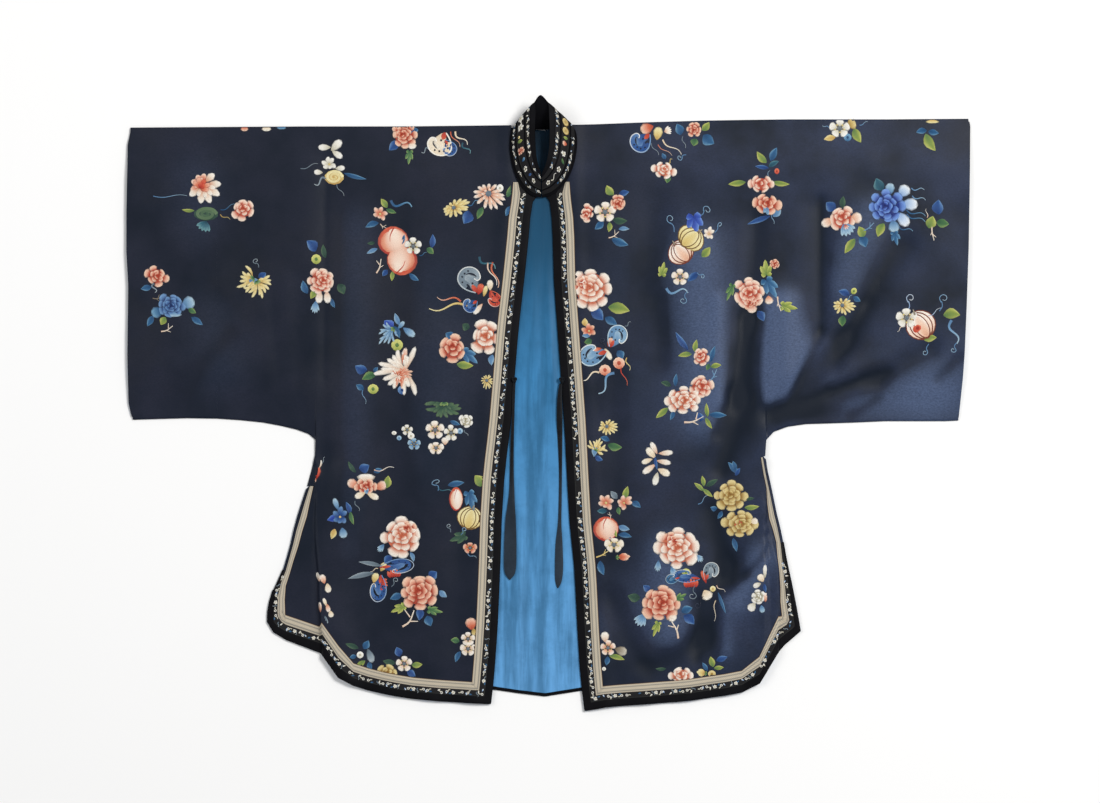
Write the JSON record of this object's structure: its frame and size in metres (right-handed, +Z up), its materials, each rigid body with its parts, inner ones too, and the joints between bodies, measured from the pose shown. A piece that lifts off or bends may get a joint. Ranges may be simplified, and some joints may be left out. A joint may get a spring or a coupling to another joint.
{
  "type": "chinese robe jacket",
  "caption": "Embroidered navy silk Chinese robe jacket laid flat, centre opening, standing collar, banded borders, pale blue lining",
  "frame": {"origin": "middle of the underside's bounding box, on the surface that the garment lies on", "axes": "+X towards the wearer's left sleeve, +Y towards the collar, +Z up from the surface"},
  "size_m": [1.4359, 1.0456, 0.0481],
  "materials": {
    "navy_silk": "woven silk with a soft sheen",
    "black_silk": "plain silk",
    "blue_lining": "thin silk",
    "flower_ribbon": "woven floral ribbon",
    "collar_flower_ribbon": "embroidered ribbon",
    "cream_braid": "woven braid",
    "slate_tie": "silk ribbon"
  },
  "bodies": {
    "root": {"body_right": "navy_silk", "body_left": "navy_silk", "sleeve_right": "navy_silk", "sleeve_left": "navy_silk", "border_right": "black_silk", "border_left": "black_silk", "border_back": "black_silk", "ribbon_right": "flower_ribbon", "ribbon_left": "flower_ribbon", "braid_right": "cream_braid", "braid_left": "cream_braid", "lining_back": "blue_lining", "collar": "black_silk", "collar_ribbon_outer": "flower_ribbon", "collar_ribbon_middle": "collar_flower_ribbon", "collar_ribbon_inner": "flower_ribbon", "tie_right": "slate_tie", "tie_left": "slate_tie"}
  },
  "joints": []
}
